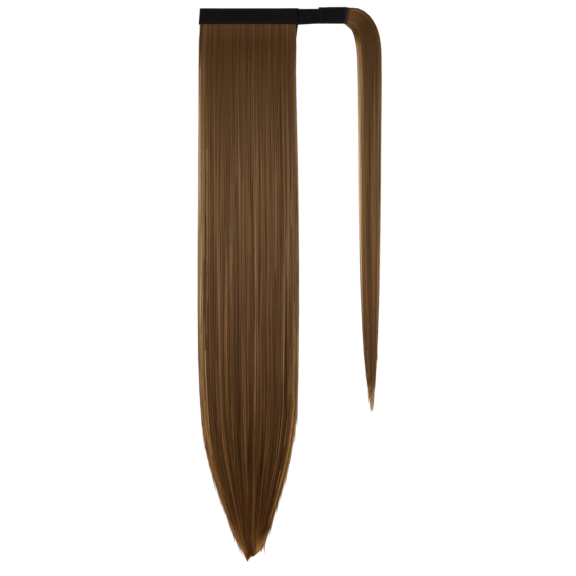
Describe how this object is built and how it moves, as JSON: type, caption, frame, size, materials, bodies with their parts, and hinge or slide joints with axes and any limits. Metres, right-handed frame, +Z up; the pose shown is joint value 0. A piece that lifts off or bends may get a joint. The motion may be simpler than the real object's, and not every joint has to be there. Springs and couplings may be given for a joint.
{
  "type": "ponytail hairpiece",
  "caption": "Long straight wrap-around ponytail hairpiece: a loop-tape band heads the fall of hair, with a hook strap at its side and a narrow strand of hair that winds round to hide the band.",
  "frame": {"origin": "middle of the piece's footprint, on the surface that it lies on", "axes": "+X along the band towards the strap, +Y from the hair's tip up to the band, +Z up from the surface"},
  "size_m": [0.2859, 0.864, 0.0139],
  "materials": {
    "black_tape": "black brushed loop tape, matt",
    "black_cloth": "black lining cloth and black hook tape, matt",
    "grey_binding": "dark binding thread with a grey-beige edge",
    "brown_hair": "medium brown synthetic hair, straight, with a soft sheen"
  },
  "bodies": {
    "root": {"band": "black_tape", "lining": "black_cloth", "strap": "black_tape", "strap_cuff": "black_tape", "hook_pad": "black_cloth", "strand_binding": "grey_binding", "hair_fall": "brown_hair", "wrap_strand": "brown_hair"}
  },
  "joints": []
}
